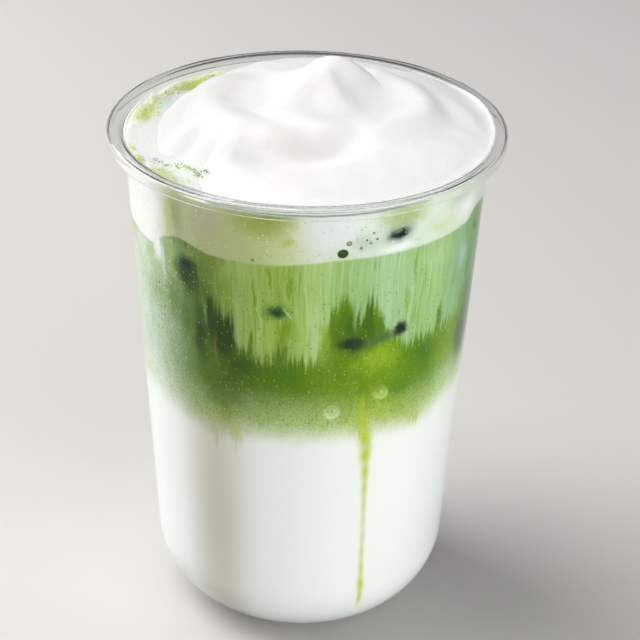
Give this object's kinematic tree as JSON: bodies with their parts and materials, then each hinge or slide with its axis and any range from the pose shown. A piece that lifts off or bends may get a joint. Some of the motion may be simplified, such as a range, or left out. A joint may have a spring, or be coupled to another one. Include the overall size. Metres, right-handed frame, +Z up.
{
  "type": "iced matcha latte in a clear cup",
  "caption": "Filled clear cup of iced matcha latte: white milk below, green tea above it, pale froth and a soft swirl of cream with one peak.",
  "frame": {"origin": "middle of the cup's foot, on the surface that it stands on", "axes": "+Z up along the cup's axis; -Y is the side with the long green streak, +X is to the right seen from there"},
  "size_m": [0.095, 0.095, 0.1428],
  "materials": {
    "clear_pet": "clear moulded PET, glossy",
    "cold_milk": "wet white milk",
    "green_tea": "wet green tea, opaque and streaked with milk",
    "tea_froth": "fine pale green froth with small pores",
    "whipped_cream": "soft white cream with a satin, finely porous surface"
  },
  "bodies": {
    "root": {"cup": "clear_pet", "milk": "cold_milk", "matcha": "green_tea", "froth": "tea_froth", "cream": "whipped_cream"}
  },
  "joints": []
}
